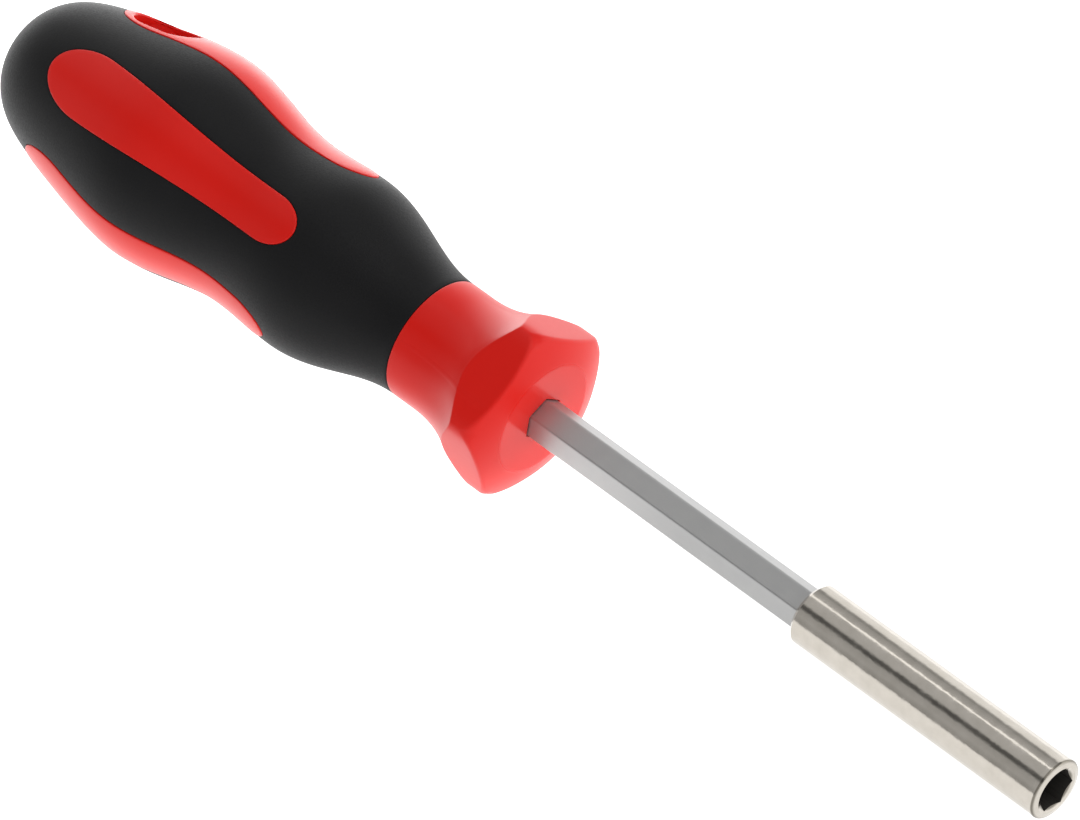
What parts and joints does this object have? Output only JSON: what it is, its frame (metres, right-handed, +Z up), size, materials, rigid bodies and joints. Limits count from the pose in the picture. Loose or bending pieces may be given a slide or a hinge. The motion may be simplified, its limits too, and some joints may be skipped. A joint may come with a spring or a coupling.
{
  "type": "bit-holder screwdriver",
  "caption": "Hand screwdriver with a two-shot moulded grip, an anti-roll collar, a hex shank and a magnetic sleeve that takes standard quarter-inch hex bits",
  "frame": {"origin": "bottom centre of the bounding box, under the middle of the tool's length, on the surface that the grip's lowest window touches", "axes": "+X along the tool towards the bit socket, +Z up with one collar flat facing straight down, +Y across"},
  "size_m": [0.2186, 0.0362, 0.0361],
  "materials": {
    "hard_red_plastic": "moulded, semi-gloss red",
    "soft_black_rubber": "moulded, fine matt black",
    "satin_plated_steel": "satin plated, drawn hex bar",
    "turned_steel": "turned and polished along its length",
    "plated_magnet": "nickel plated",
    "spring_steel": "plain spring wire"
  },
  "bodies": {
    "root": {"handle_body": "hard_red_plastic", "soft_grip": "soft_black_rubber", "hex_shank": "satin_plated_steel", "bit_sleeve": "turned_steel", "magnet": "plated_magnet", "retaining_ring": "spring_steel"}
  },
  "joints": []
}
